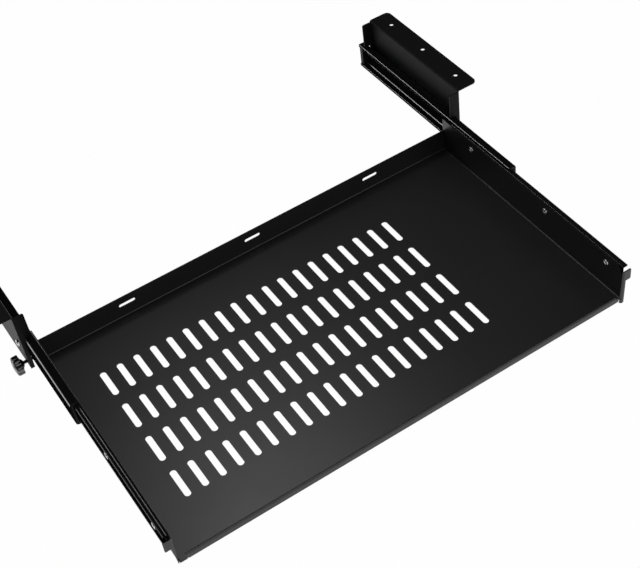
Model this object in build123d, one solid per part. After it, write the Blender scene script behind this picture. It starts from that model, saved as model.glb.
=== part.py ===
from build123d import *
import os
from math import cos, radians, sin

os.makedirs("parts", exist_ok=True)

# An under desk laptop shelf: a folded steel tray on two ball bearing slides, hung from a desk by two folded
# brackets, each with a star knob that locks the tray. Millimetres, +X right, +Y back under the desk, +Z up.
# The origin is in the plane of the desk's underside, at the middle of the six screw holes of the brackets.
# The tray stands pulled out, with its front 188 mm short of the closed place.

# Tray
tray_inside_width = 531.8
tray_depth = 312.5
tray_sheet = 1.2
tray_bend = 1.0
side_wall_height = 44.7
back_wall_height = 27.7
front_lip_height = 8.0
front_lip_setback = 4.5
front_lip_left_margin = 8.0
front_lip_right_margin = 1.2
front_lip_corner = 4.0
floor_below_desk = 86.0
side_wall_nose_run = 10.0
side_wall_root_height = 33.6

# Slots in the tray's floor and back wall
floor_slot_columns = 19
floor_slot_rows = 4
floor_slot_pitch_x = 20.0
floor_slot_pitch_y = 52.25
floor_slot_length = 37.0
floor_slot_width = 7.0
floor_slot_left_margin = 42.8
floor_slot_back_margin = 75.8
back_slot_count = 3
back_slot_pitch = 159.4
back_slot_length = 20.0
back_slot_width = 4.5
back_slot_height = 16.3

# Ears and narrow flanges that the side walls turn out in front of the slides
ear_width = 10.3
ear_low = 26.0
ear_high = 40.1
ear_bend = 1.3
ear_clearance = 0.2
wall_flange_width = 3.9
wall_flange_left_foot = 1.6
wall_flange_left_low = -1.2
wall_flange_right_foot = 4.3
wall_flange_right_low = -3.0

# Ball bearing slides, one on each side of the tray
slide_length = 300.0
slide_height = 32.8
slide_thickness = 10.5
slide_sheet = 1.2
slide_corner = 3.5
slide_above_floor = 34.2
slide_lip_gap = 0.7
slide_lip_round = 0.9
slide_curl = 2.6
inner_short = 6.0
rear_stop_gap = 0.5
ball_radius = 2.2
ball_running_gap = 0.05
ball_offset = 4.15
ball_pitch = 11.0
cage_end_margin = 4.5
cage_end_clearance = 0.5
race_inner_angle = 60.0
race_outer_angle = 45.0
race_shoulder = 2.4
cage_sheet = 0.6
cage_gap = 0.6
cage_edge = 2.3
full_travel = 200.0
rest_pull = 187.8
bumper_length = 5.0
bumper_clearance = 0.4
stop_tab_height = 16.0
stop_tab_gap = 0.3
cage_window_length = 22.0
cage_window_height = 7.0
cage_window_pitch = 27.5

# Screws and nuts: tray to slides, and slides to brackets
tray_screw_front = 26.9
tray_screw_gaps = (98.8, 131.6)
screw_radius = 2.0
screw_clearance = 0.25
thread_clearance = 0.03
rail_head_radius = 3.9
rail_head_height = 2.5
rail_head_round = 1.7
rail_recess_depth = 1.3
tray_head_radius = 3.5
tray_head_height = 1.0
tray_head_round = 0.7
tray_recess_depth = 0.6
screw_tip_bevel = 0.4
recess_width = 1.1
nut_flats = 7.0
nut_height = 4.6
nut_collar_radius = 4.8
nut_collar_height = 1.2
screw_past_nut = 0.4
nut_bevel = 0.4
weld_nut_flats = 8.0
screw_short_of_slide = 0.3
weld_nut_height = 3.3
rail_screw_front = 15.0
rail_screw_gap = 128.0

# Brackets
bracket_sheet = 1.5
bracket_length = 180.0
bracket_rail_overhang = 110.0
bracket_bottom_above_floor = 5.6
bracket_top_flange = 26.0
bracket_flange_reach = 13.0
bracket_rail_gap = 0.3
bracket_bend = 1.0
bracket_flange_round = 2.0
bracket_tip_round = 6.0
desk_hole_radius = 2.5
desk_hole_from_plate = 14.0
desk_hole_pitch = 65.0

# Lock knobs
knob_radius = 11.0
knob_thickness = 9.2
knob_lobes = 6
knob_lobe_radius = 3.4
knob_rest_turn = -13.0
knob_crown = 1.2
knob_core_radius = 8.6
knob_flute_round = 2.0
knob_edge_round = 2.4
knob_back_round = 0.6
knob_hub_radius = 6.8
knob_hub_tip_radius = 3.4
knob_hub_height = 2.8
knob_stand_off = 6.9
knob_behind_front = 9.0
knob_above_floor = 10.0
stud_radius = 2.0
stud_tip_radius = 1.3
stud_tip_length = 2.0
stud_in_knob = 6.0
stud_end_bevel = 0.4
lock_nut_flats = 7.0
lock_nut_height = 4.2
pad_radius = 3.4
pad_length = 3.2
pad_gap = 0.9
pad_shoulder_gap = 0.1
pad_edge_bevel = 0.5
fit_clearance = 0.03

# Places worked out from the sizes above. Pieces are drawn on the right side and mirrored to the left.
wall_inside_x = tray_inside_width / 2
wall_outside_x = wall_inside_x + tray_sheet
rail_outside_x = wall_outside_x + slide_thickness
plate_inside_x = rail_outside_x + weld_nut_height
plate_outside_x = plate_inside_x + bracket_sheet
floor_z = -floor_below_desk
floor_under_z = floor_z - tray_sheet
rail_z = floor_z + slide_above_floor
bracket_front_y = -bracket_length / 2
bracket_back_y = bracket_length / 2
rail_front_y = bracket_front_y - bracket_rail_overhang
rail_back_y = rail_front_y + slide_length
inner_front_y = rail_front_y - rest_pull
inner_length = slide_length - inner_short
inner_back_y = inner_front_y + inner_length
tray_front_y = inner_front_y - ear_clearance - ear_bend - tray_sheet
tray_back_y = tray_front_y + tray_depth
back_wall_inside_y = tray_back_y - tray_sheet
lip_front_y = tray_front_y + front_lip_setback
lip_left_x = -wall_inside_x + front_lip_left_margin
lip_right_x = wall_inside_x - front_lip_right_margin
ear_bend_y = tray_front_y + ear_bend + tray_sheet
ball_level = slide_height / 2 - slide_sheet - ball_running_gap - ball_radius
race_radius = ball_radius + 2 * ball_running_gap
cage_back_room = full_travel - rest_pull


def block(x0, x1, y0, y1, z0, z1):
    """A box between two opposite corners."""
    size = (abs(x1 - x0), abs(y1 - y0), abs(z1 - z0))
    return Pos((x0 + x1) / 2, (y0 + y1) / 2, (z0 + z1) / 2) * Box(*size)


def along_x(solid, x, y, z):
    """Turns a solid drawn along +Z so that it points along +X, with its foot at the given place."""
    return Pos(x, y, z) * Rot(0, 90, 0) * solid


def section_in_xz(section, y_back, length):
    """Draws a flat section in X and Z and carries it forwards from y_back by the given length."""
    return Plane((0, y_back, 0), x_dir=(1, 0, 0), z_dir=(0, -1, 0)) * extrude(section, amount=length)


def section_in_yz(section, x_left, width):
    """Draws a flat section in Y and Z and carries it to the right from x_left by the given width."""
    return Plane((x_left, 0, 0), x_dir=(0, 1, 0), z_dir=(1, 0, 0)) * extrude(section, amount=width)


def outline(*points):
    """A filled polygon through the given corners."""
    return make_face(Polyline(*points, close=True))


def round_corner(section, x, y, radius):
    """Rounds the corner of a flat section that lies at the given place."""
    corner = [v for v in section.vertices() if abs(v.X - x) < 1e-6 and abs(v.Y - y) < 1e-6]
    return fillet(corner, radius)


def slide_section(section, y_back, length):
    """Carries a slide's section, drawn from the tray wall outwards and from the slide's middle upwards."""
    return section_in_xz(Pos(wall_outside_x, rail_z) * section, y_back, length)


# The tray: floor, side walls, back wall, front lip and ears, folded from one sheet

def tray_floor_and_walls():
    """The floor with both side walls, as one bent channel from front to back."""
    outer = outline(
        (-wall_outside_x, floor_under_z),
        (wall_outside_x, floor_under_z),
        (wall_outside_x, floor_z + side_wall_height),
        (-wall_outside_x, floor_z + side_wall_height),
    )
    inner = outline(
        (-wall_inside_x, floor_z),
        (wall_inside_x, floor_z),
        (wall_inside_x, floor_z + side_wall_height + 1),
        (-wall_inside_x, floor_z + side_wall_height + 1),
    )
    for side in (-1, 1):
        outer = round_corner(outer, side * wall_outside_x, floor_under_z, tray_bend + tray_sheet)
        inner = round_corner(inner, side * wall_inside_x, floor_z, tray_bend)
    return section_in_xz(outer - inner, tray_back_y, tray_depth)


def wall_nose_cutter():
    """What is cut off the side walls' upper front corners, slanting down to where the ears bend out."""
    top = floor_z + side_wall_height
    root = floor_z + side_wall_root_height
    nose = outline(
        (ear_bend_y - 1, top + 1),
        (tray_front_y + side_wall_nose_run, top + 1),
        (tray_front_y + side_wall_nose_run, top),
        (ear_bend_y, root),
        (ear_bend_y - 1, root),
    )
    return section_in_yz(nose, -wall_outside_x - 1, 2 * wall_outside_x + 2)


def front_lip():
    """The lip folded down along the floor's front edge, with rounded lower corners."""
    low = floor_z - front_lip_height
    lip_back_y = lip_front_y + tray_sheet
    root_y = lip_front_y + 2 * (tray_bend + tray_sheet)
    fold = outline(
        (lip_front_y, low),
        (lip_back_y, low),
        (lip_back_y, floor_under_z),
        (root_y, floor_under_z),
        (root_y, floor_z),
        (lip_front_y, floor_z),
    )
    fold = round_corner(fold, lip_back_y, floor_under_z, tray_bend)
    fold = round_corner(fold, lip_front_y, floor_z, tray_bend + tray_sheet)
    lip = section_in_yz(fold, lip_left_x, lip_right_x - lip_left_x)
    corners = [edge for edge in lip.edges().filter_by(Axis.Y) if abs(edge.center().Z - low) < 1e-6]
    return fillet(corners, front_lip_corner)


def back_wall():
    """The low back wall, bent up from the floor and welded to the side walls at both ends."""
    top = floor_z + back_wall_height
    root_y = tray_back_y - 2 * (tray_bend + tray_sheet)
    fold = outline(
        (root_y, floor_under_z),
        (tray_back_y, floor_under_z),
        (tray_back_y, top),
        (back_wall_inside_y, top),
        (back_wall_inside_y, floor_z),
        (root_y, floor_z),
    )
    fold = round_corner(fold, back_wall_inside_y, floor_z, tray_bend)
    fold = round_corner(fold, tray_back_y, floor_under_z, tray_bend + tray_sheet)
    return section_in_yz(fold, -wall_inside_x, 2 * wall_inside_x)


def wall_front(foot_width, foot_low):
    """A side wall's front end, bent outwards: an ear in front of the slide, and a narrow flange below it."""
    high = floor_z + ear_high
    low = floor_z + foot_low
    ear_under = floor_z + ear_low
    behind_ear = tray_front_y + tray_sheet
    strip_back_y = ear_bend_y + tray_sheet
    plan = outline(
        (wall_inside_x, strip_back_y),
        (wall_inside_x, tray_front_y),
        (wall_inside_x + ear_width, tray_front_y),
        (wall_inside_x + ear_width, behind_ear),
        (wall_outside_x, behind_ear),
        (wall_outside_x, strip_back_y),
    )
    plan = round_corner(plan, wall_inside_x, tray_front_y, ear_bend + tray_sheet)
    plan = round_corner(plan, wall_outside_x, behind_ear, ear_bend)
    strip = Pos(0, 0, low) * extrude(plan, amount=high - low)
    ear = outline(
        (wall_inside_x, ear_under),
        (wall_inside_x + ear_width, ear_under),
        (wall_inside_x + ear_width, high),
        (wall_inside_x, high),
    )
    ear = fillet([v for v in ear.vertices() if v.X > wall_outside_x], tray_sheet)
    flange = outline(
        (wall_inside_x, low),
        (wall_inside_x + foot_width, low),
        (wall_inside_x + wall_flange_width, ear_under + tray_sheet),
        (wall_inside_x, ear_under + tray_sheet),
    )
    seen_from_front = section_in_xz(ear + flange, strip_back_y, strip_back_y - tray_front_y)
    side = outline(
        (tray_front_y, low),
        (ear_bend_y, low),
        (ear_bend_y, floor_z + side_wall_root_height),
        (behind_ear, high),
        (tray_front_y, high),
    )
    seen_from_side = section_in_yz(side, wall_inside_x, ear_width)
    return strip & seen_from_front & seen_from_side


def oblong(length, width, depth):
    """An upright slot cutter with round ends, along X, centred on the origin."""
    return extrude(SlotOverall(length, width), amount=depth / 2, both=True)


def floor_slots():
    """The rows of slots in the floor, which run from front to back and sit nearer to the left wall."""
    cutter = Rot(0, 0, 90) * oblong(floor_slot_length, floor_slot_width, 4 * tray_sheet)
    first_x = -wall_inside_x + floor_slot_left_margin
    first_y = back_wall_inside_y - floor_slot_back_margin
    places = []
    for column in range(floor_slot_columns):
        for row in range(floor_slot_rows):
            x = first_x + column * floor_slot_pitch_x
            y = first_y - row * floor_slot_pitch_y
            places.append(Pos(x, y, floor_z) * cutter)
    return places


def back_slots():
    """The three flat slots in the back wall."""
    cutter = Rot(90, 0, 0) * oblong(back_slot_length, back_slot_width, 4 * tray_sheet)
    places = []
    for number in range(back_slot_count):
        x = (number - (back_slot_count - 1) / 2) * back_slot_pitch
        places.append(Pos(x, tray_back_y, floor_z + back_slot_height) * cutter)
    return places


def tray_screw_places():
    """How far back each of the three screws of a side stands."""
    first = tray_front_y + tray_screw_front
    second = first + tray_screw_gaps[0]
    third = second + tray_screw_gaps[1]
    return first, second, third


def make_tray():
    """The whole tray, with every slot and hole."""
    bend_out = tray_bend + tray_sheet
    under = floor_under_z - tray_sheet
    above = floor_z + tray_sheet
    wall_top = floor_z + side_wall_height + 1
    tray = tray_floor_and_walls()
    tray -= wall_nose_cutter()
    tray -= block(lip_left_x, lip_right_x, tray_front_y - 1, lip_front_y + bend_out, under, above)
    tray -= block(-wall_inside_x, wall_inside_x, tray_back_y - bend_out, tray_back_y + 1, under, above)
    for side in (-1, 1):
        end = block(wall_inside_x, wall_outside_x + 1, tray_front_y - 1, ear_bend_y, under, wall_top)
        tray -= end if side > 0 else mirror(end, Plane.YZ)
    tray += front_lip()
    tray += back_wall()
    tray += wall_front(wall_flange_right_foot, wall_flange_right_low)
    tray += mirror(wall_front(wall_flange_left_foot, wall_flange_left_low), Plane.YZ)
    tray -= floor_slots()
    tray -= back_slots()
    hole = Cylinder(screw_radius + screw_clearance, 2 * wall_outside_x + 2)
    for y in tray_screw_places():
        tray -= Pos(0, y, rail_z) * Rot(0, 90, 0) * hole
    return tray


# The slides: a member on the tray, a member on the bracket, and a cage of balls between them

def inner_lip_height():
    """How far the edges of the tray's member are from the slide's middle."""
    return ball_level - race_radius * cos(radians(race_inner_angle))


def race_wedge():
    """The wedge that a curved race covers, from the ball's centre towards the slide's middle."""
    far = 2 * (race_radius + slide_sheet)
    inner = radians(race_inner_angle)
    outer = radians(race_outer_angle)
    inner_tip = (-far * sin(inner), -far * cos(inner))
    outer_tip = (far * sin(outer), -far * cos(outer))
    return outline((0, 0), inner_tip, (inner_tip[0], -far), (outer_tip[0], -far), outer_tip)


def make_slide_inner():
    """The member screwed to the tray: a web with a curved race along its top and its bottom edge."""
    lip = inner_lip_height()
    web = outline((0, -lip), (slide_sheet, -lip), (slide_sheet, lip), (0, lip))
    low = lip - race_shoulder
    shoulder = outline((0, low), (ball_offset, low), (ball_offset, lip), (0, lip))
    shoulder = round_corner(shoulder, ball_offset, low, race_shoulder / 2)
    race = Pos(ball_offset, ball_level) * (Circle(race_radius + slide_sheet) & race_wedge())
    edge = shoulder + race - Pos(ball_offset, ball_level) * Circle(race_radius)
    section = web + edge + mirror(edge, Plane.XZ)
    member = slide_section(section, inner_back_y, inner_length)
    tab_reach = slide_thickness - slide_sheet - stop_tab_gap
    tab_half = stop_tab_height / 2
    member += block(
        wall_outside_x, wall_outside_x + tab_reach,
        inner_back_y - slide_sheet, inner_back_y,
        rail_z - tab_half, rail_z + tab_half,
    )
    hole = Cylinder(screw_radius + screw_clearance, 4 * slide_sheet)
    for y in tray_screw_places():
        member -= along_x(hole, wall_outside_x, y, rail_z)
    return member


def make_slide_outer():
    """The member on the bracket: a channel with round back corners and curled lips that keep the balls in."""
    half = slide_height / 2
    outer = outline(
        (slide_lip_gap, -half),
        (slide_thickness, -half),
        (slide_thickness, half),
        (slide_lip_gap, half),
    )
    outer = fillet([v for v in outer.vertices() if v.X > slide_thickness / 2], slide_corner)
    outer = fillet([v for v in outer.vertices() if v.X < slide_thickness / 2], slide_lip_round)
    bore = outline(
        (slide_lip_gap + slide_sheet, -half + slide_sheet),
        (slide_thickness - slide_sheet, -half + slide_sheet),
        (slide_thickness - slide_sheet, half - slide_sheet),
        (slide_lip_gap + slide_sheet, half - slide_sheet),
    )
    bore = fillet([v for v in bore.vertices() if v.X > slide_thickness / 2], slide_corner - slide_sheet)
    mouth_v = half - slide_sheet - slide_curl
    mouth = outline(
        (slide_lip_gap - 1, -mouth_v),
        (slide_lip_gap + slide_sheet + 1, -mouth_v),
        (slide_lip_gap + slide_sheet + 1, mouth_v),
        (slide_lip_gap - 1, mouth_v),
    )
    return slide_section(outer - bore - mouth, rail_back_y, slide_length)


def cage_span():
    """Where the cage starts and ends from front to back, half as far out as the tray member."""
    front = rail_front_y + bumper_length + cage_end_clearance + cage_back_room / 2
    back = inner_back_y - slide_sheet - cage_end_clearance - cage_back_room / 2
    return front, back


def places_in_cage(pitch, reach):
    """Evenly spaced places in the cage, centred, as many as it has room for; reach is one copy's length."""
    front, back = cage_span()
    count = int((back - front - 2 * cage_end_margin - reach) / pitch) + 1
    first = (front + back) / 2 - (count - 1) / 2 * pitch
    return [first + number * pitch for number in range(count)]


def ball_places():
    """The balls' places along the slide."""
    return places_in_cage(ball_pitch, 0)


def make_cage():
    """The thin channel that keeps the balls apart, with a hole for each ball and windows in its web."""
    front, back = cage_span()
    web_out = slide_thickness - slide_sheet - cage_gap
    high = ball_level + cage_sheet / 2
    outer = outline((cage_edge, -high), (web_out, -high), (web_out, high), (cage_edge, high))
    low = high - cage_sheet
    bore = outline(
        (cage_edge - 1, -low),
        (web_out - cage_sheet, -low),
        (web_out - cage_sheet, low),
        (cage_edge - 1, low),
    )
    cage = slide_section(outer - bore, back, back - front)
    hole = Cylinder(ball_radius + ball_running_gap, 2 * slide_height)
    for y in ball_places():
        cage -= Pos(wall_outside_x + ball_offset, y, rail_z) * hole
    window = along_x(Rot(0, 0, 90) * oblong(cage_window_length, cage_window_height, 4 * slide_sheet), 0, 0, 0)
    for y in places_in_cage(cage_window_pitch, cage_window_length):
        cage -= Pos(wall_outside_x + web_out, y, rail_z) * window
    return cage


def make_balls():
    """Both rows of steel balls of one slide."""
    balls = []
    for y in ball_places():
        for level in (-ball_level, ball_level):
            balls.append(Pos(wall_outside_x + ball_offset, y, rail_z + level) * Sphere(ball_radius))
    return Compound(balls)


def make_front_bumper():
    """The moulded plug in the mouth of the bracket's member, which the tray's member slides through."""
    half = slide_height / 2 - slide_sheet
    lip = inner_lip_height()
    reach = ball_offset + (race_radius + slide_sheet) * sin(radians(race_outer_angle))
    outer = outline(
        (slide_lip_gap + slide_sheet, -half),
        (slide_thickness - slide_sheet, -half),
        (slide_thickness - slide_sheet, half),
        (slide_lip_gap + slide_sheet, half),
    )
    outer = fillet([v for v in outer.vertices() if v.X > slide_thickness / 2], slide_corner - slide_sheet)
    bore = outline(
        (0, -lip - bumper_clearance),
        (reach + bumper_clearance, -lip - bumper_clearance),
        (reach + bumper_clearance, lip + bumper_clearance),
        (0, lip + bumper_clearance),
    )
    return slide_section(outer - bore, rail_front_y + bumper_length, bumper_length)


def make_rear_bumper():
    """The block at the back of the bracket's member that the tray's member meets when the tray is shut."""
    half = slide_height / 2 - slide_sheet
    start = slide_lip_gap + slide_sheet
    face = outline(
        (start, -half),
        (slide_thickness - slide_sheet, -half),
        (slide_thickness - slide_sheet, half),
        (start, half),
    )
    face = fillet([v for v in face.vertices() if v.X > slide_thickness / 2], slide_corner - slide_sheet)
    return slide_section(face, rail_back_y, inner_short - rear_stop_gap)


# Screws and nuts

def cross_screw(grip, head_radius, head_height, head_round, recess_depth):
    """A cross recess screw along +Z: its head below the origin's plane, its shank above, grip long."""
    head = Pos(0, 0, -head_height / 2) * Cylinder(head_radius, head_height)
    head = fillet(head.edges().sort_by(Axis.Z)[0], head_round)
    shank = Pos(0, 0, grip / 2) * Cylinder(screw_radius, grip)
    shank = chamfer(shank.edges().sort_by(Axis.Z)[-1], screw_tip_bevel)
    recess = Box(2 * screw_radius, recess_width, 2 * recess_depth)
    recess += Box(recess_width, 2 * screw_radius, 2 * recess_depth)
    return head + shank - Pos(0, 0, -head_height) * recess


def hex_nut(flats, height, bore_radius):
    """A hexagon nut along +Z from the origin's plane, with its corners taken off at the outer end."""
    nut = extrude(RegularPolygon(flats / 2, 6, major_radius=False), amount=height)
    cone = Pos(0, 0, height / 2) * Cylinder(flats / 2 + nut_bevel, height)
    cone = chamfer(cone.edges().sort_by(Axis.Z)[-1], nut_bevel)
    return (nut & cone) - Pos(0, 0, height / 2) * Cylinder(bore_radius, 2 * height)


def make_tray_screws():
    """Three low headed screws through a side wall and the slide member on it, heads inside the tray."""
    grip = tray_sheet + slide_sheet + nut_height + screw_past_nut
    screw = cross_screw(grip, tray_head_radius, tray_head_height, tray_head_round, tray_recess_depth)
    return Compound([along_x(screw, wall_inside_x, y, rail_z) for y in tray_screw_places()])


def make_tray_nuts():
    """The collared nuts of the tray's screws, in the slide member's channel."""
    bore_radius = screw_radius + thread_clearance
    collar = Cylinder(nut_collar_radius, nut_collar_height) - Cylinder(bore_radius, 2 * nut_collar_height)
    nut = hex_nut(nut_flats, nut_height, bore_radius)
    nut += Pos(0, 0, nut_collar_height / 2) * collar
    return Compound([along_x(nut, wall_outside_x + slide_sheet, y, rail_z) for y in tray_screw_places()])


def rail_screw_places():
    """Where a bracket's two slide screws stand from front to back."""
    first = bracket_front_y + rail_screw_front
    return first, first + rail_screw_gap


def make_rail_nuts():
    """Weld nuts on the back of the slide, which also hold it off the bracket's plate."""
    nut = hex_nut(weld_nut_flats, weld_nut_height, screw_radius + thread_clearance)
    return Compound([along_x(nut, rail_outside_x, y, rail_z) for y in rail_screw_places()])


def make_rail_screws():
    """Two screws from the outside of a bracket's plate into the slide's weld nuts."""
    grip = bracket_sheet + weld_nut_height - screw_short_of_slide
    screw = cross_screw(grip, rail_head_radius, rail_head_height, rail_head_round, rail_recess_depth)
    pieces = []
    for y in rail_screw_places():
        pieces.append(Pos(plate_outside_x, y, rail_z) * Rot(0, -90, 0) * screw)
    return Compound(pieces)


# Brackets

def bracket_end_flange():
    """The flange turned in at each end of a bracket, stepped round the slide that passes it."""
    low = floor_z + bracket_bottom_above_floor
    slide_top = rail_z + slide_height / 2 + bracket_rail_gap
    beside_slide = rail_outside_x + bracket_rail_gap
    over_slide = plate_outside_x - bracket_flange_reach
    top = -bracket_sheet - bracket_bend
    face = outline(
        (plate_outside_x, low),
        (plate_outside_x, top),
        (over_slide, top),
        (over_slide, slide_top),
        (beside_slide, slide_top),
        (beside_slide, low),
    )
    return fillet([v for v in face.vertices() if abs(v.X - over_slide) < 1e-6], bracket_flange_round)


def make_bracket():
    """A hanging bracket: a plate down the side, a flange under the desk and a stepped flange at each end."""
    low = floor_z + bracket_bottom_above_floor
    outside = outline(
        (plate_inside_x, low),
        (plate_outside_x, low),
        (plate_outside_x, -bracket_sheet),
        (plate_outside_x + bracket_top_flange, -bracket_sheet),
        (plate_outside_x + bracket_top_flange, 0),
        (plate_inside_x, 0),
    )
    outside = round_corner(outside, plate_inside_x, 0, bracket_bend + bracket_sheet)
    outside = round_corner(outside, plate_outside_x, -bracket_sheet, bracket_bend)
    bracket = section_in_xz(outside, bracket_back_y, bracket_length)
    tip_x = plate_outside_x + bracket_top_flange
    tips = [e for e in bracket.edges().filter_by(Axis.Z) if abs(e.center().X - tip_x) < 1e-6]
    bracket = fillet(tips, bracket_tip_round)
    end = bracket_end_flange()
    bracket += section_in_xz(end, bracket_front_y + bracket_sheet, bracket_sheet)
    bracket += section_in_xz(end, bracket_back_y, bracket_sheet)
    hole = Cylinder(desk_hole_radius, 4 * bracket_sheet)
    for number in (-1, 0, 1):
        bracket -= Pos(plate_outside_x + desk_hole_from_plate, number * desk_hole_pitch, 0) * hole
    through = Cylinder(screw_radius + screw_clearance, 4 * bracket_sheet)
    for y in rail_screw_places():
        bracket -= along_x(through, plate_outside_x, y, rail_z)
    stud_hole = Cylinder(stud_radius + screw_clearance, 4 * bracket_sheet)
    bracket -= along_x(stud_hole, plate_outside_x, knob_y(), knob_z())
    return bracket


# Lock knobs

def knob_y():
    """How far back the knob's axis is."""
    return bracket_front_y + knob_behind_front


def knob_z():
    """The height of the knob's axis, under the slide."""
    return floor_z + knob_above_floor


def make_lock_nut():
    """The weld nut inside the bracket's plate that the knob's stud is threaded through."""
    nut = hex_nut(lock_nut_flats, lock_nut_height, stud_radius + fit_clearance)
    return Pos(plate_inside_x, knob_y(), knob_z()) * Rot(0, -90, 0) * nut


def make_lock_knob():
    """The moulded star knob, a ring of lobes round a disc, with a tapered hub towards the bracket."""
    centre_distance = knob_radius - knob_lobe_radius
    star = Circle(knob_core_radius)
    for number in range(knob_lobes):
        angle = radians(number * 360 / knob_lobes)
        star += Pos(centre_distance * cos(angle), centre_distance * sin(angle)) * Circle(knob_lobe_radius)
    star = fillet(star.vertices(), knob_flute_round)
    crown_radius = knob_radius**2 / (2 * knob_crown)
    crown = Pos(0, 0, knob_thickness - crown_radius) * Sphere(crown_radius)
    body = Rot(0, 0, knob_rest_turn) * extrude(star, amount=knob_thickness) & crown
    body = fillet(body.faces().sort_by(Axis.Z)[-1].edges(), knob_edge_round)
    body = fillet(body.faces().sort_by(Axis.Z)[0].edges(), knob_back_round)
    body += Pos(0, 0, -knob_hub_height / 2) * Cone(knob_hub_tip_radius, knob_hub_radius, knob_hub_height)
    bore_length = stud_in_knob + knob_hub_height
    body -= Pos(0, 0, bore_length / 2 - knob_hub_height) * Cylinder(stud_radius + fit_clearance, bore_length)
    return along_x(body, plate_outside_x + knob_stand_off, knob_y(), knob_z())


def make_lock_stud():
    """The threaded stud moulded into the knob, with a turned down tip for the pad."""
    inner_end = wall_outside_x + pad_gap + pad_length + pad_shoulder_gap
    outer_end = plate_outside_x + knob_stand_off + stud_in_knob
    length = outer_end - inner_end
    stud = Pos(0, 0, length / 2) * Cylinder(stud_radius, length)
    stud = chamfer(stud.edges().sort_by(Axis.Z)[0], stud_end_bevel)
    tip_length = stud_tip_length + pad_shoulder_gap
    stud += Pos(0, 0, -tip_length / 2) * Cylinder(stud_tip_radius, tip_length)
    return along_x(stud, inner_end, knob_y(), knob_z())


def make_lock_pad():
    """The nylon pad snapped on the stud's tip, which presses on the tray's side wall."""
    pad = Pos(0, 0, pad_length / 2) * Cylinder(pad_radius, pad_length)
    pad = chamfer(pad.edges().sort_by(Axis.Z)[0], pad_edge_bevel)
    socket_depth = stud_tip_length + fit_clearance
    socket = Cylinder(stud_tip_radius + fit_clearance, socket_depth)
    pad -= Pos(0, 0, pad_length - socket_depth / 2) * socket
    return along_x(pad, wall_outside_x + pad_gap, knob_y(), knob_z())


# Writing the pieces, each side piece once for the right and once mirrored for the left

side_pieces = {
    "slide_inner": make_slide_inner,
    "slide_outer": make_slide_outer,
    "ball_cage": make_cage,
    "balls": make_balls,
    "slide_front_bumper": make_front_bumper,
    "slide_rear_bumper": make_rear_bumper,
    "tray_screws": make_tray_screws,
    "tray_nuts": make_tray_nuts,
    "rail_nuts": make_rail_nuts,
    "rail_screws": make_rail_screws,
    "bracket": make_bracket,
    "lock_nut": make_lock_nut,
    "lock_knob": make_lock_knob,
    "lock_stud": make_lock_stud,
    "lock_pad": make_lock_pad,
}

export_step(make_tray(), "parts/tray.step")
for name, make in side_pieces.items():
    right = make()
    export_step(right, "parts/" + name + "_right.step")
    export_step(mirror(right, Plane.YZ), "parts/" + name + "_left.step")
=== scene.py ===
from math import pi, radians

import bmesh
import bpy
import numpy as np
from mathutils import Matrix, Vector


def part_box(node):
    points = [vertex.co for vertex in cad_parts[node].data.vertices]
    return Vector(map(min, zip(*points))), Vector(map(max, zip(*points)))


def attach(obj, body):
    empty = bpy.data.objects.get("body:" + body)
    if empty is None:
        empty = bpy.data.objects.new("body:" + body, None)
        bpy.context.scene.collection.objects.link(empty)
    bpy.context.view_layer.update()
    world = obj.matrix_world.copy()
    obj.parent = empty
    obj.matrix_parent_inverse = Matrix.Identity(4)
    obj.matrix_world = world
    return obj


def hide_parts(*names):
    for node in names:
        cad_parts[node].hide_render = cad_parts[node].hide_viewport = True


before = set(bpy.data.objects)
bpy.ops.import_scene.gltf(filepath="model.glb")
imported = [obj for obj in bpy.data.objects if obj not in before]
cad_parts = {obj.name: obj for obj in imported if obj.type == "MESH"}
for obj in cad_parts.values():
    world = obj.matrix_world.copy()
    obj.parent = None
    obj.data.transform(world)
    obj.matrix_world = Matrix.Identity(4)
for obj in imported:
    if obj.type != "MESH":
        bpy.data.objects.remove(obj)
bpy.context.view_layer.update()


# The studio. The camera stands where the photograph was taken, up in front and to the left of the tray.
# The shelf hangs as under a desk, about 0.72 m over the floor, so the pale floor lies that far down.
camera_place = (-0.41969, -1.07779, 0.96478)
camera_turn = (43.506, 6.106, -32.734)
camera_lens = 74.95
floor_height = -0.72
floor_reach = 80.0
floor_white = 0.93
floor_glow = 0.985
room_strength = 0.1
aim_of_lamps = (-0.05, -0.2, -0.08)
lamps = {
    "top_box": ((0.09, 0.31, 1.25), (0.4, 0.55), 3.4),
    "left_box": ((-2.2, 1.9, 1.0), (1.6, 0.7), 18.0),
    "front_box": ((0.1, -2.3, 1.3), (3.0, 2.0), 32.0),
}


def make_camera():
    """The camera, with the photograph's viewing angle and focal length, and no depth of field."""
    data = bpy.data.cameras.new("camera")
    data.lens = camera_lens
    camera = bpy.data.objects.new("camera", data)
    camera.location = camera_place
    camera.rotation_euler = [radians(angle) for angle in camera_turn]
    bpy.context.scene.collection.objects.link(camera)
    bpy.context.scene.camera = camera


def make_lamp(name, place, size, power):
    """A rectangular soft lamp at a place, turned to face the shelf."""
    data = bpy.data.lights.new(name, "AREA")
    data.shape = "RECTANGLE"
    data.size, data.size_y = size
    data.energy = power
    lamp = bpy.data.objects.new(name, data)
    lamp.location = place
    lamp.rotation_euler = (Vector(aim_of_lamps) - Vector(place)).to_track_quat("-Z", "Y").to_euler()
    lamp.visible_camera = False
    bpy.context.scene.collection.objects.link(lamp)


def node_kit(owner):
    """Empties a material's, world's or group's nodes and returns a function that adds one, and its links."""
    tree = owner if isinstance(owner, bpy.types.NodeTree) else owner.node_tree
    tree.nodes.clear()

    def add(kind, **settings):
        """Adds a node, with its own settings and, by socket name, its input values."""
        node = tree.nodes.new(kind)
        for name, value in settings.items():
            if hasattr(node, name):
                setattr(node, name, value)
            else:
                node.inputs[name.replace("_", " ")].default_value = value
        return node

    return add, tree.links


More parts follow.
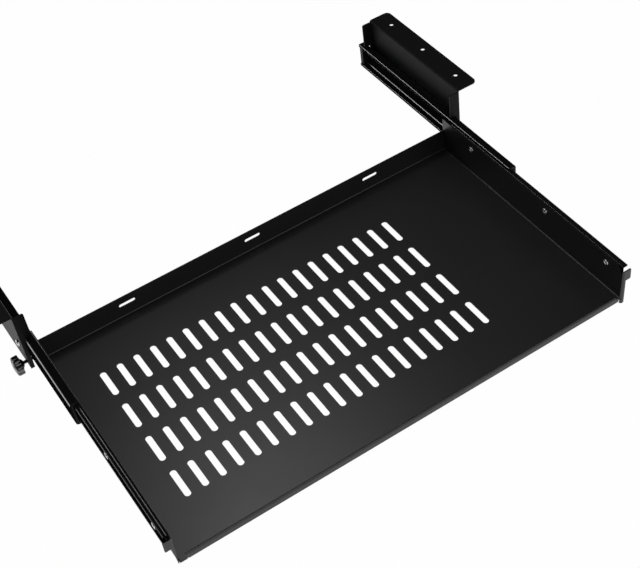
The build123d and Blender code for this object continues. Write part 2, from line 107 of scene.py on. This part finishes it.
def seen_directly(add, links):
    """A socket that is 1 for the camera's rays and for those that glossy or clear surfaces send on."""
    path = add("ShaderNodeLightPath")
    total = path.outputs["Is Camera Ray"]
    for kind in ("Is Glossy Ray", "Is Transmission Ray"):
        both = add("ShaderNodeMath", operation="MAXIMUM")
        links.new(total, both.inputs[0])
        links.new(path.outputs[kind], both.inputs[1])
        total = both.outputs[0]
    return total


def make_floor():
    """One wide pale square, almost white where it is seen, with a faint shadow; from below it is clear."""
    mesh = bpy.data.meshes.new("studio_floor")
    half = floor_reach / 2
    corners = [(-half, -half), (half, -half), (half, half), (-half, half)]
    mesh.from_pydata([(x, y, floor_height) for x, y in corners], [], [(0, 1, 2, 3)])
    floor = bpy.data.objects.new("studio_floor", mesh)
    bpy.context.scene.collection.objects.link(floor)
    paper = bpy.data.materials.new("studio_paper")
    paper.use_nodes = True
    add, links = node_kit(paper)
    matt = add("ShaderNodeBsdfDiffuse", Color=(floor_white, floor_white, floor_white, 1))
    white = add("ShaderNodeEmission", Color=(1, 1, 1, 1))
    share = add("ShaderNodeMath", operation="MULTIPLY")
    share.inputs[1].default_value = floor_glow
    mix = add("ShaderNodeMixShader")
    below = add("ShaderNodeNewGeometry")
    clear = add("ShaderNodeBsdfTransparent")
    sides = add("ShaderNodeMixShader")
    out = add("ShaderNodeOutputMaterial")
    links.new(seen_directly(add, links), share.inputs[0])
    links.new(share.outputs[0], mix.inputs[0])
    links.new(matt.outputs[0], mix.inputs[1])
    links.new(white.outputs[0], mix.inputs[2])
    links.new(below.outputs["Backfacing"], sides.inputs[0])
    links.new(mix.outputs[0], sides.inputs[1])
    links.new(clear.outputs[0], sides.inputs[2])
    links.new(sides.outputs[0], out.inputs["Surface"])
    mesh.materials.append(paper)


def make_room():
    """A dim even room round the shelf, white only where the camera looks past the floor."""
    world = bpy.data.worlds.new("room")
    bpy.context.scene.world = world
    world.use_nodes = True
    add, links = node_kit(world)
    dim = add("ShaderNodeBackground", Color=(1, 1, 1, 1), Strength=room_strength)
    white = add("ShaderNodeBackground", Color=(1, 1, 1, 1))
    path = add("ShaderNodeLightPath")
    mix = add("ShaderNodeMixShader")
    out = add("ShaderNodeOutputWorld")
    links.new(path.outputs["Is Camera Ray"], mix.inputs[0])
    links.new(dim.outputs[0], mix.inputs[1])
    links.new(white.outputs[0], mix.inputs[2])
    links.new(mix.outputs[0], out.inputs["Surface"])


make_camera()
make_floor()
make_room()
for lamp_name, (lamp_place, lamp_size, lamp_power) in lamps.items():
    make_lamp(lamp_name, lamp_place, lamp_size, lamp_power)
bpy.context.scene.view_settings.view_transform = "Standard"


# The brackets: 1.5 mm steel sheet, folded, then coated with satin black powder that is baked on.
# The coat flows to a fine orange peel and thins over the folds, where handling rubs it shinier. It is
# drawn more matte and far less reflective here than on the tray: a shaded copy of the same coat, painted
# shade in place of the shadow of the desk the shelf hangs from.
coat_black = (0.006, 0.006, 0.0062)
coat_rubbed = (0.02, 0.02, 0.0205)
coat_peel_height = 0.000012
bracket_rough = 0.5
bracket_shade_specular = 0.1
coat_peel_per_metre = 900
coat_edge_round = 0.00022
rub_patches_per_metre = 60.0
rub_swing = 0.6
rub_least = 0.7
gloss_share_of_drift = 0.5
same_point = 1e-6
fold_from = radians(30)
round_from = radians(40)
round_steps = 2


def new_group(name, inputs, outputs):
    """A shader node group with float inputs and outputs by name."""
    group = bpy.data.node_groups.new(name, "ShaderNodeTree")
    for label in inputs:
        group.interface.new_socket(label, in_out="INPUT", socket_type="NodeSocketFloat")
    for label in outputs:
        group.interface.new_socket(label, in_out="OUTPUT", socket_type="NodeSocketFloat")
    add, links = node_kit(group)
    return group, add, links, add("NodeGroupInput"), add("NodeGroupOutput")


def surface_grain():
    """Fine noise for a surface's height, and a slow noise, centred on nought, for its gloss and tone."""
    group, add, links, given, made = new_group("surface_grain", ["Grains", "Patches"], ["Height", "Drift"])
    place = add("ShaderNodeTexCoord")
    fine = add("ShaderNodeTexNoise", Detail=2.0, Roughness=0.55)
    slow = add("ShaderNodeTexNoise", Detail=4.0, Roughness=0.6)
    centred = add("ShaderNodeMath", operation="SUBTRACT")
    centred.inputs[1].default_value = 0.5
    links.new(place.outputs["Object"], fine.inputs["Vector"])
    links.new(given.outputs["Grains"], fine.inputs["Scale"])
    links.new(place.outputs["Object"], slow.inputs["Vector"])
    links.new(given.outputs["Patches"], slow.inputs["Scale"])
    links.new(slow.outputs["Fac"], centred.inputs[0])
    links.new(fine.outputs["Fac"], made.inputs["Height"])
    links.new(centred.outputs[0], made.inputs["Drift"])
    return group


def edge_rub():
    """A mask along convex and concave edges, slightly uneven, from how far a rounded normal turns."""
    group, add, links, given, made = new_group("edge_rub", ["Reach", "Strength"], ["Mask"])
    rounded = add("ShaderNodeBevel", samples=4)
    flat = add("ShaderNodeNewGeometry")
    agree = add("ShaderNodeVectorMath", operation="DOT_PRODUCT")
    apart = add("ShaderNodeMath", operation="SUBTRACT")
    apart.inputs[0].default_value = 1.0
    place = add("ShaderNodeTexCoord")
    patch = add("ShaderNodeTexNoise", Scale=rub_patches_per_metre, Detail=2.0)
    uneven = add("ShaderNodeMath", operation="MULTIPLY_ADD")
    uneven.inputs[1].default_value = rub_swing
    uneven.inputs[2].default_value = rub_least
    broken = add("ShaderNodeMath", operation="MULTIPLY")
    scaled = add("ShaderNodeMath", operation="MULTIPLY", use_clamp=True)
    links.new(given.outputs["Reach"], rounded.inputs["Radius"])
    links.new(rounded.outputs["Normal"], agree.inputs[0])
    links.new(flat.outputs["True Normal"], agree.inputs[1])
    links.new(agree.outputs["Value"], apart.inputs[1])
    links.new(place.outputs["Object"], patch.inputs["Vector"])
    links.new(apart.outputs[0], broken.inputs[0])
    links.new(patch.outputs["Fac"], uneven.inputs[0])
    links.new(uneven.outputs[0], broken.inputs[1])
    links.new(broken.outputs[0], scaled.inputs[0])
    links.new(given.outputs["Strength"], scaled.inputs[1])
    links.new(scaled.outputs[0], made.inputs["Mask"])
    return group


def painted_bend_highlight():
    """A mask on bends along Y, from the side towards the top: the cosine to the bend's middle, steepened. It
    marks where a painted highlight goes: bends that face one direction, both ways along X.
    """
    group, add, links, given, made = new_group("painted_bend_highlight", ["Middle X", "Middle Z", "From"], ["Mask"])
    place = add("ShaderNodeTexCoord")
    either = add("ShaderNodeVectorMath", operation="ABSOLUTE")
    middle = add("ShaderNodeCombineXYZ")
    towards = add("ShaderNodeVectorMath", operation="DOT_PRODUCT")
    steep = add("ShaderNodeMapRange", interpolation_type="SMOOTHSTEP")
    links.new(place.outputs["Normal"], either.inputs[0])
    links.new(given.outputs["Middle X"], middle.inputs["X"])
    links.new(given.outputs["Middle Z"], middle.inputs["Z"])
    links.new(either.outputs[0], towards.inputs[0])
    links.new(middle.outputs[0], towards.inputs[1])
    links.new(towards.outputs["Value"], steep.inputs["Value"])
    links.new(given.outputs["From"], steep.inputs["From Min"])
    links.new(steep.outputs[0], made.inputs["Mask"])
    return group


grain_group = surface_grain()
rub_group = edge_rub()
painted_highlight_group = painted_bend_highlight()


def place_group(add, group, values):
    """A group in a material, with its own values."""
    node = add("ShaderNodeGroup", node_tree=group)
    for label, value in values.items():
        node.inputs[label].default_value = value
    return node


def finish_material(name, colour, wear_and_highlight_colour, rough, wear_and_highlight_rough, grain, rub, bump, drift, fixed, bend=None):
    """A finish: a colour that changes a little in patches and towards the rubbed edges, with grain.

    grain and rub are the values of the two groups, bump is the grain's height in metres, drift how far
    the patches change colour and gloss, and fixed holds the shader's plain values. With bend, the values of
    the third group, bends that face one direction turn metallic and take the same bare metal colour as the
    rubbed edges: a painted highlight on the bends, real wear on the edges.
    """
    material = bpy.data.materials.new(name)
    material.use_nodes = True
    add, links = node_kit(material)
    shader = add("ShaderNodeBsdfPrincipled")
    for label, value in fixed.items():
        shader.inputs[label].default_value = value
    grains = place_group(add, grain_group, grain)
    rubs = place_group(add, rub_group, rub)
    tone = add("ShaderNodeMath", operation="MULTIPLY_ADD")
    tone.inputs[1].default_value = drift
    tone.inputs[2].default_value = 1.0
    tinted = add("ShaderNodeVectorMath", operation="SCALE")
    tinted.inputs[0].default_value = colour
    blended = add("ShaderNodeMix", data_type="RGBA")
    blended.inputs["B"].default_value = (*wear_and_highlight_colour, 1)
    gloss = add("ShaderNodeMath", operation="MULTIPLY_ADD")
    gloss.inputs[1].default_value = gloss_share_of_drift * drift
    gloss.inputs[2].default_value = rough
    wear_and_highlight_gloss = add("ShaderNodeMix", data_type="FLOAT")
    wear_and_highlight_gloss.inputs["B"].default_value = wear_and_highlight_rough
    lift = add("ShaderNodeBump", Strength=1.0, Distance=bump)
    out = add("ShaderNodeOutputMaterial")
    links.new(grains.outputs["Drift"], tone.inputs[0])
    links.new(tone.outputs[0], tinted.inputs["Scale"])
    mask = rubs.outputs["Mask"]
    # With bend, the bend mask, a painted highlight, joins the rubbed edges' wear mask.
    if bend:
        painted_highlights = place_group(add, painted_highlight_group, bend)
        wear_and_highlight_mask = add("ShaderNodeMath", operation="MAXIMUM")
        links.new(mask, wear_and_highlight_mask.inputs[0])
        links.new(painted_highlights.outputs["Mask"], wear_and_highlight_mask.inputs[1])
        mask = wear_and_highlight_mask.outputs[0]
        links.new(mask, shader.inputs["Metallic"])
    links.new(mask, blended.inputs["Factor"])
    links.new(tinted.outputs[0], blended.inputs["A"])
    links.new(blended.outputs["Result"], shader.inputs["Base Color"])
    links.new(grains.outputs["Drift"], gloss.inputs[0])
    links.new(mask, wear_and_highlight_gloss.inputs["Factor"])
    links.new(gloss.outputs[0], wear_and_highlight_gloss.inputs["A"])
    links.new(wear_and_highlight_gloss.outputs["Result"], shader.inputs["Roughness"])
    links.new(grains.outputs["Height"], lift.inputs["Height"])
    links.new(lift.outputs["Normal"], shader.inputs["Normal"])
    links.new(shader.outputs["BSDF"], out.inputs["Surface"])
    return material


def powder_coat(name, rough, specular):
    """A black powder coat, as the brackets and the tray have, with its own gloss."""
    return finish_material(
        name,
        colour=coat_black, wear_and_highlight_colour=coat_rubbed,
        rough=rough, wear_and_highlight_rough=rough - 0.01,
        grain={"Grains": coat_peel_per_metre, "Patches": 14.0},
        rub={"Reach": 0.0005, "Strength": 0.3},
        bump=coat_peel_height, drift=0.14,
        fixed={"Specular IOR Level": specular},
    )


def soft_edged(node, body, material, width, reshape=None):
    """A copy of a folded or moulded solid, in its place, with its sharp edges rounded by the given width.

    reshape takes the copy's points, an array of shape (points, 3), and returns them moved.
    """
    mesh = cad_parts[node].data.copy()
    if reshape:
        points = np.empty(len(mesh.vertices) * 3)
        mesh.vertices.foreach_get("co", points)
        mesh.vertices.foreach_set("co", reshape(points.reshape(-1, 3)).ravel())
    made = bmesh.new()
    made.from_mesh(mesh)
    bmesh.ops.remove_doubles(made, verts=made.verts, dist=same_point)
    made.to_mesh(mesh)
    made.free()
    if mesh.attributes.get("custom_normal"):
        mesh.attributes.remove(mesh.attributes["custom_normal"])
    mesh.shade_smooth()
    mesh.set_sharp_from_angle(angle=fold_from)
    mesh.materials.clear()
    mesh.materials.append(material)
    piece = bpy.data.objects.new(node + "_finished", mesh)
    bpy.context.scene.collection.objects.link(piece)
    bevel = piece.modifiers.new("soft_edges", "BEVEL")
    bevel.width = width
    bevel.segments = round_steps
    bevel.limit_method = "ANGLE"
    bevel.angle_limit = round_from
    flats = piece.modifiers.new("flat_sides", "WEIGHTED_NORMAL")
    flats.keep_sharp = True
    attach(piece, body)
    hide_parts(node)
    return piece


# The brackets' coat reflects less than the tray's: painted shade, a shaded copy of the same coat.
bracket_shaded_coat = powder_coat("bracket_shaded_powder_coat", bracket_rough, bracket_shade_specular)
for side in ("left", "right"):
    soft_edged("bracket_" + side, "frame", bracket_shaded_coat, coat_edge_round)


# The slides' bracket members: cold rolled strip, roll formed to a channel, with a smooth black finish.
# Its flat sides have no specular reflection, so they look black. Bends facing outwards and up turn to
# bright bare metal: a painted highlight along the channel's curled edge.
slide_finish = finish_material(
    "slide_black_finish",
    colour=(0.006, 0.006, 0.0062), wear_and_highlight_colour=(0.42, 0.42, 0.425),
    rough=0.4, wear_and_highlight_rough=0.36,
    grain={"Grains": 2500.0, "Patches": 30.0},
    rub={"Reach": 0.0004, "Strength": 0.4},
    bump=0.0000012, drift=0.2,
    fixed={"Specular IOR Level": 0.0},
    # The bend values place a painted highlight, bright bare metal, on the outer upper bends.
    bend={"Middle X": 0.88, "Middle Z": 0.475, "From": 0.925},
)
slide_edge_round = 0.0003
for side in ("left", "right"):
    soft_edged("slide_outer_" + side, "frame", slide_finish, slide_edge_round)


# The slides' bumpers: moulded black plastic, a plug in the mouth and a stop block at the back.
bumper_edge_round = 0.00025
bumper_plastic = finish_material(
    "bumper_moulded_plastic",
    colour=(0.006, 0.006, 0.0062), wear_and_highlight_colour=(0.012, 0.012, 0.0122),
    rough=0.5, wear_and_highlight_rough=0.45,
    grain={"Grains": 1600.0, "Patches": 60.0},
    rub={"Reach": 0.0004, "Strength": 0.6},
    bump=0.00001, drift=0.2,
    fixed={"Specular IOR Level": 0.15},
)
for side in ("left", "right"):
    for end in ("front", "rear"):
        name = f"slide_{end}_bumper_{side}"
        soft_edged(name, "frame", bumper_plastic, bumper_edge_round)


# The cages and balls: a thin zinc plated channel with a hole for each ball, and chrome steel balls.
cage_edge_round = 0.0001
cage_steel = finish_material(
    "cage_rolled_steel",
    colour=(0.36, 0.36, 0.37), wear_and_highlight_colour=(0.5, 0.5, 0.5),
    rough=0.32, wear_and_highlight_rough=0.25,
    grain={"Grains": 1800.0, "Patches": 50.0},
    rub={"Reach": 0.0003, "Strength": 1.0},
    bump=0.000004, drift=0.3,
    fixed={"Metallic": 1.0},
)
ball_steel = finish_material(
    "ball_chrome_steel",
    colour=(0.62, 0.62, 0.63), wear_and_highlight_colour=(0.66, 0.66, 0.66),
    rough=0.12, wear_and_highlight_rough=0.12,
    grain={"Grains": 3000.0, "Patches": 90.0},
    rub={"Reach": 0.0002, "Strength": 0.2},
    bump=0.0000004, drift=0.12,
    fixed={"Metallic": 1.0},
)
for side in ("left", "right"):
    soft_edged("ball_cage_" + side, "ball_cage_" + side, cage_steel, cage_edge_round)
    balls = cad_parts["balls_" + side]
    balls.data.materials.clear()
    balls.data.materials.append(ball_steel)


# The slides' tray members: rolled strip with a curved race along each edge, in the same black finish
# with a dimmer painted highlight, bare metal on their bends that face more upwards. Their lips are the
# thin lines beside the tray's walls.
race_finish = finish_material(
    "slide_race_finish",
    colour=(0.006, 0.006, 0.0062), wear_and_highlight_colour=(0.15, 0.15, 0.153),
    rough=0.4, wear_and_highlight_rough=0.36,
    grain={"Grains": 2500.0, "Patches": 30.0},
    rub={"Reach": 0.0004, "Strength": 0.4},
    bump=0.0000012, drift=0.2,
    fixed={"Specular IOR Level": 0.0},
    # The bend values place a dimmer painted highlight on the races' bends, which face more upwards.
    bend={"Middle X": 0.78, "Middle Z": 0.63, "From": 0.915},
)
for side in ("left", "right"):
    soft_edged("slide_inner_" + side, "tray", race_finish, slide_edge_round)


# The tray: one sheet of 1.2 mm steel, punched with rows of slots, folded up on three sides, its front
# edge folded down, and coated with black powder of a satin gloss.
tray_rough = 0.37
tray_specular = 0.5
tray_coat = powder_coat("tray_powder_coat", tray_rough, tray_specular)
tray_edge_round = 0.0002
lip_end_slack = 0.0001
lip_end_x = 0.2647
lip_low_z = -0.094
lip_corner = 0.004
lip_squared = 0.8
lip_stretch = 0.0022
lip_under_z = -0.0873
lip_face_y = -0.3862
foot_from_x = 0.2658
foot_back_y = -0.3879
foot_low_z = -0.0889
foot_drop = 0.0032
foot_shift = 0.0014


def tray_corners(points):
    """Squares and lengthens the lip's right end, and draws the right foot beside it down and towards it.

    Points on the lip's round lower corner move out from the corner's centre to a share of the way to
    the square round it, and those near the end move on along X with their share of the corner's width.
    The foot's lowest points drop and shift by plain steps.
    """
    x, y, z = points.T.copy()
    across = x - (lip_end_x - lip_corner)
    down = z - (lip_low_z + lip_corner)
    corner = (across > 0) & (x < lip_end_x + lip_end_slack) & (down < 0) & (y > lip_face_y)
    longest = np.maximum(np.maximum(np.abs(across), np.abs(down)), 1e-9)
    grow = np.where(corner, lip_squared * (np.hypot(across, down) / longest - 1), 0)
    end = (across > 0) & (x < lip_end_x + lip_end_slack) & (z < lip_under_z) & (y > lip_face_y)
    foot = (x > foot_from_x) & (y < foot_back_y) & (z < foot_low_z)
    x += across * grow + lip_stretch * end * across / lip_corner - foot_shift * foot
    z += down * grow - foot_drop * foot
    return np.stack([x, y, z], -1)


soft_edged("tray", "tray", tray_coat, tray_edge_round, tray_corners)


# The screws: zinc plated steel, cold headed with a cross recess and rolled threads. Low heads hold the
# tray to its slide members, and pan heads hold the brackets to the slides' weld nuts.
zinc_plate = finish_material(
    "bright_zinc_plate",
    colour=(0.62, 0.63, 0.65), wear_and_highlight_colour=(0.75, 0.75, 0.76),
    rough=0.26, wear_and_highlight_rough=0.2,
    grain={"Grains": 2200.0, "Patches": 120.0},
    rub={"Reach": 0.0003, "Strength": 1.2},
    bump=0.000003, drift=0.3,
    fixed={"Metallic": 1.0},
)
shank_radius = 0.002
thread_pitch = 0.0007
thread_depth = 0.00035
cross_width = 0.0011
cross_reach = 0.002
cross_edge_out = 0.62
cross_edge_fade = 0.24
cross_end_fade = 0.0004
turns_round = 72
head_rings = 25
edge_rings = 6
rings_a_turn = 8
head_foot_edge = 0.00005
shank_from = 0.0001
thread_from = 0.0003
tip_bevel = 0.0004
sharp_from = radians(35)
tray_screw_gaps = (0.0988, 0.1316)
tray_head = {"radius": 0.0035, "height": 0.001, "round": 0.0007, "recess": 0.0006}
rail_head = {"radius": 0.0039, "height": 0.0025, "round": 0.0017, "recess": 0.0013}


def closed_of_rows(rows):
    """Vertices and faces of a solid of revolution: rows of points round an axis, closed at both ends.

    rows has the shape (rings, steps, 3). Each ring joins the next with quads, and a point at the middle
    of the first and of the last ring closes the ends.
    """
    rings, steps = rows.shape[:2]
    points = np.concatenate([rows.reshape(-1, 3), rows[0].mean(0)[None], rows[-1].mean(0)[None]])
    ring, step = np.meshgrid(np.arange(rings - 1), np.arange(steps), indexing="ij")
    after = (step + 1) % steps
    quads = np.stack([ring * steps + step, ring * steps + after,
                      (ring + 1) * steps + after, (ring + 1) * steps + step], -1).reshape(-1, 4)
    here = np.arange(steps)
    after = (here + 1) % steps
    first = np.stack([np.full(steps, rings * steps), after, here], -1)
    last_ring = (rings - 1) * steps
    last = np.stack([np.full(steps, rings * steps + 1), last_ring + here, last_ring + after], -1)
    return points, quads.tolist() + first.tolist() + last.tolist()


def threaded_radius(along, angle, radius, starts_at, ends_at):
    """A thread's radius: the full radius less a V groove, one pitch a turn, that fades at both ends."""
    turn = along / thread_pitch - angle / (2 * pi)
    groove = np.abs((turn % 1) - 0.5) * 2
    fade = np.clip((along - starts_at) / thread_pitch, 0, 1) * np.clip((ends_at - along) / thread_pitch, 0, 1)
    return radius - thread_depth * fade * (1 - groove)


def screw_rows(head, grip):
    """Rings of a cross recess screw, its head's foot at nought and its shank towards +Z.

    The head's top is flat with a quarter round edge, less a cross shaped dip: the dip is full where a
    point is within half the cross's width of either arm, and fades at the arms' ends and sides. Then
    come the head's side, its foot, the threaded shank and the bevelled tip.
    """
    angle = np.arange(turns_round) * 2 * pi / turns_round
    inward = np.linspace(0, 1, head_rings + 1)[1:, None]
    flat = (head["radius"] - head["round"]) * inward
    x, y = flat * np.cos(angle), flat * np.sin(angle)
    far = np.maximum(np.abs(x), np.abs(y))
    near = np.minimum(np.abs(x), np.abs(y))
    side_fade = np.clip((cross_width * cross_edge_out - near) / (cross_width * cross_edge_fade), 0, 1)
    end_fade = np.clip((cross_reach - far) / cross_end_fade, 0, 1)
    top = np.stack([x, y, -head["height"] + head["recess"] * side_fade * end_fade], -1)
    bend = np.linspace(0, pi / 2, edge_rings + 1)[1:, None]
    edge = head["radius"] - head["round"] * (1 - np.sin(bend)) + 0 * angle
    drop = -head["height"] + head["round"] * (1 - np.cos(bend)) + 0 * angle
    foot = np.array([head["radius"], head["radius"] - head_foot_edge, shank_radius])[:, None] + 0 * angle
    foot_z = np.array([-head_foot_edge, 0.0, 0.0])[:, None] + 0 * angle
    count = int(grip / thread_pitch * rings_a_turn)
    along = np.linspace(shank_from, grip - tip_bevel, count)[:, None] + 0 * angle
    shank = threaded_radius(along, angle, shank_radius, thread_from, grip)
    tip = np.array([shank_radius - tip_bevel])[:, None] + 0 * angle
    tip_z = np.array([grip])[:, None] + 0 * angle
    radius = np.concatenate([edge, foot, shank, tip])
    level = np.concatenate([drop, foot_z, along, tip_z])
    lower = np.stack([radius * np.cos(angle), radius * np.sin(angle), level], -1)
    return np.concatenate([top, lower])


def turned_to_x(points, place, towards):
    """Points drawn along +Z, turned so that +Z becomes towards (1 or -1) along X, and moved to the place."""
    return np.stack([points[:, 2] * towards, points[:, 1], -points[:, 0] * towards], -1) + np.array(place)


def make_piece(name, parts, material, body, slot, *nodes):
    """One object from several (points, faces) parts, smooth with sharp edges, riding on a body."""
    points, faces, start = [], [], 0
    for part_points, part_faces in parts:
        points.append(part_points)
        faces += [[start + corner for corner in face] for face in part_faces]
        start += len(part_points)
    mesh = bpy.data.meshes.new(name)
    mesh.from_pydata(np.concatenate(points).tolist(), [], faces)
    made = bmesh.new()
    made.from_mesh(mesh)
    bmesh.ops.recalc_face_normals(made, faces=made.faces)
    made.to_mesh(mesh)
    made.free()
    mesh.shade_smooth()
    mesh.set_sharp_from_angle(angle=sharp_from)
    mesh.materials.append(material)
    piece = bpy.data.objects.new(name, mesh)
    bpy.context.scene.collection.objects.link(piece)
    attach(piece, body)
    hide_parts(*nodes)
    return piece


for side, outwards in (("left", -1), ("right", 1)):
    low, high = (np.array(corner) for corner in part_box("tray_screws_" + side))
    first_y = low[1] + tray_head["radius"]
    places_y = first_y, first_y + tray_screw_gaps[0], high[1] - tray_head["radius"]
    middle_z = (low[2] + high[2]) / 2
    head_top, tip = (low[0], high[0]) if outwards > 0 else (high[0], low[0])
    head_foot = head_top + outwards * tray_head["height"]
    screw, faces = closed_of_rows(screw_rows(tray_head, abs(tip - head_foot)))
    parts = [(turned_to_x(screw, (head_foot, y, middle_z), outwards), faces) for y in places_y]
    make_piece("tray_screws_threaded_" + side, parts, zinc_plate, "tray", "zinc", "tray_screws_" + side)
    low, high = (np.array(corner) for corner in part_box("rail_screws_" + side))
    places_y = low[1] + rail_head["radius"], high[1] - rail_head["radius"]
    head_top, tip = (high[0], low[0]) if outwards > 0 else (low[0], high[0])
    head_foot = head_top - outwards * rail_head["height"]
    screw, faces = closed_of_rows(screw_rows(rail_head, abs(tip - head_foot)))
    parts = [(turned_to_x(screw, (head_foot, y, middle_z), -outwards), faces) for y in places_y]
    make_piece("rail_screws_threaded_" + side, parts, zinc_plate, "frame", "zinc", "rail_screws_" + side)


# The nuts: zinc plated. Collared ones hold the tray's screws, and weld nuts sit on slides and brackets.
nut_edge_round = 0.00015
for side in ("left", "right"):
    soft_edged("tray_nuts_" + side, "tray", zinc_plate, nut_edge_round)
    soft_edged("rail_nuts_" + side, "frame", zinc_plate, nut_edge_round)
    soft_edged("lock_nut_" + side, "frame", zinc_plate, nut_edge_round)


# The lock pads: natural nylon caps snapped on the studs' tips, which press on the tray's walls.
pad_edge_round = 0.0002
pad_nylon = finish_material(
    "pad_natural_nylon",
    colour=(0.62, 0.6, 0.54), wear_and_highlight_colour=(0.5, 0.48, 0.43),
    rough=0.42, wear_and_highlight_rough=0.5,
    grain={"Grains": 1500.0, "Patches": 80.0},
    rub={"Reach": 0.0003, "Strength": 1.0},
    bump=0.000006, drift=0.12,
    fixed={"Subsurface Weight": 0.15, "Subsurface Radius": (0.002, 0.0015, 0.001)},
)
for side in ("left", "right"):
    soft_edged("lock_pad_" + side, "lock_pad_" + side, pad_nylon, pad_edge_round)


# The lock knobs: black ABS, moulded round the stud, with six lobes to grip and a glossy crowned face.
knob_plastic = finish_material(
    "knob_glossy_plastic",
    colour=(0.008, 0.008, 0.0083), wear_and_highlight_colour=(0.02, 0.02, 0.02),
    rough=0.12, wear_and_highlight_rough=0.16,
    grain={"Grains": 1300.0, "Patches": 70.0},
    rub={"Reach": 0.0004, "Strength": 0.8},
    bump=0.000003, drift=0.16,
    fixed={"Specular IOR Level": 0.55, "Coat Weight": 0.3, "Coat Roughness": 0.1},
)
knob_radius = 0.011
knob_core = 0.0093
knob_lobe = 0.0034
knob_lobes = 6
knob_turn = radians(-13.0)
knob_thickness = 0.0092
knob_crown = 0.0012
knob_front_round = 0.0024
knob_back_round = 0.0006
knob_hub = (0.0068, 0.0034, 0.0028)
knob_steps_round = 240
knob_hub_rings = 6
knob_back_rings = 5
knob_front_rings = 9
knob_face_rings = 13
knob_face_middle = 0.03
lobe_blend_power = 14


def star_radius(angle):
    """The star's radius: the larger of the core circle and the nearest lobe's circle, blended smoothly."""
    step = 2 * pi / knob_lobes
    off = (angle - knob_turn + step / 2) % step - step / 2
    centre = knob_radius - knob_lobe
    inside = np.clip(knob_lobe**2 - (centre * np.sin(off))**2, 0, None)
    lobe = np.where(inside > 0, centre * np.cos(off) + np.sqrt(inside), 0.5 * knob_core)
    power = lobe_blend_power
    blended = (lobe**power + knob_core**power)**(1 / power)
    return blended * knob_radius / (knob_radius**power + knob_core**power)**(1 / power)


def knob_rows():
    """Rings of the knob along +Z from its back face: the hub, the back, the side and the crowned face.

    Each ring is the star drawn in by an inset and then scaled towards the middle; the crown's height
    over the side falls with the square of the distance from the middle.
    """
    angle = np.linspace(0, 2 * pi, knob_steps_round, endpoint=False)
    star = star_radius(angle)
    wide, narrow, tall = knob_hub
    hub_radius = np.linspace(narrow, wide, knob_hub_rings)[:, None] + 0 * angle
    hub_z = np.linspace(-tall, 0, knob_hub_rings)[:, None] + 0 * angle
    back = np.linspace(0, pi / 2, knob_back_rings)[:, None]
    back_radius = star - knob_back_round * (1 - np.sin(back))
    back_z = knob_back_round * (1 - np.cos(back)) + 0 * angle
    edge_z = knob_thickness - knob_crown
    front = np.linspace(0, pi / 2, knob_front_rings)[:, None]
    front_radius = star - knob_front_round * (1 - np.cos(front))
    front_z = edge_z - knob_front_round * (1 - np.sin(front)) + 0 * angle
    share = np.linspace(1, knob_face_middle, knob_face_rings + 1)[1:, None]
    face_radius = (star - knob_front_round) * share
    face_z = edge_z + knob_crown * (1 - (face_radius / (knob_radius - knob_front_round))**2)
    radius = np.concatenate([hub_radius, back_radius, front_radius, face_radius])
    level = np.concatenate([hub_z, back_z, front_z, face_z])
    return np.stack([radius * np.cos(angle), radius * np.sin(angle), level], -1)


for side, outwards in (("left", -1), ("right", 1)):
    low, high = (np.array(corner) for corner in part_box("lock_knob_" + side))
    stud_low, stud_high = (np.array(corner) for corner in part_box("lock_stud_" + side))
    axis_y, axis_z = (stud_low[1:] + stud_high[1:]) / 2
    hub_end = low[0] if outwards > 0 else high[0]
    back_face = hub_end + outwards * knob_hub[2]
    knob, faces = closed_of_rows(knob_rows())
    parts = [(turned_to_x(knob, (back_face, axis_y, axis_z), outwards), faces)]
    make_piece("lock_knob_moulded_" + side, parts, knob_plastic, "lock_knob_" + side, "knob_plastic",
               "lock_knob_" + side)


# The studs: black oxide steel with a rolled thread, their outer ends moulded into the knobs.
stud_steel = finish_material(
    "stud_black_oxide",
    colour=(0.06, 0.06, 0.062), wear_and_highlight_colour=(0.3, 0.3, 0.3),
    rough=0.3, wear_and_highlight_rough=0.25,
    grain={"Grains": 2000.0, "Patches": 100.0},
    rub={"Reach": 0.0002, "Strength": 1.0},
    bump=0.000003, drift=0.3,
    fixed={"Metallic": 1.0},
)
stud_tip_length = 0.0021
stud_tip_radius = 0.0013


def stud_rows(length):
    """Rings of a stud along +Z: a plain turned tip up to nought, then a thread to the given length."""
    angle = np.arange(turns_round) * 2 * pi / turns_round
    tip = np.array([stud_tip_radius, stud_tip_radius])[:, None] + 0 * angle
    tip_z = np.array([-stud_tip_length, 0.0])[:, None] + 0 * angle
    along = np.linspace(0.0, length, int(length / thread_pitch * rings_a_turn))[:, None] + 0 * angle
    radius = threaded_radius(along, angle, shank_radius, 0.0, length)
    radius = np.minimum(radius, shank_radius - tip_bevel + along)
    radius = np.concatenate([tip, radius])
    level = np.concatenate([tip_z, along])
    return np.stack([radius * np.cos(angle), radius * np.sin(angle), level], -1)


for side, outwards in (("left", -1), ("right", 1)):
    low, high = (np.array(corner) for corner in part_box("lock_stud_" + side))
    axis_y, axis_z = (low[1:] + high[1:]) / 2
    tip_end, far_end = (low[0], high[0]) if outwards > 0 else (high[0], low[0])
    start = tip_end + outwards * stud_tip_length
    stud, faces = closed_of_rows(stud_rows(abs(far_end - start)))
    parts = [(turned_to_x(stud, (start, axis_y, axis_z), outwards), faces)]
    make_piece("lock_stud_threaded_" + side, parts, stud_steel, "lock_knob_" + side, "zinc",
               "lock_stud_" + side)
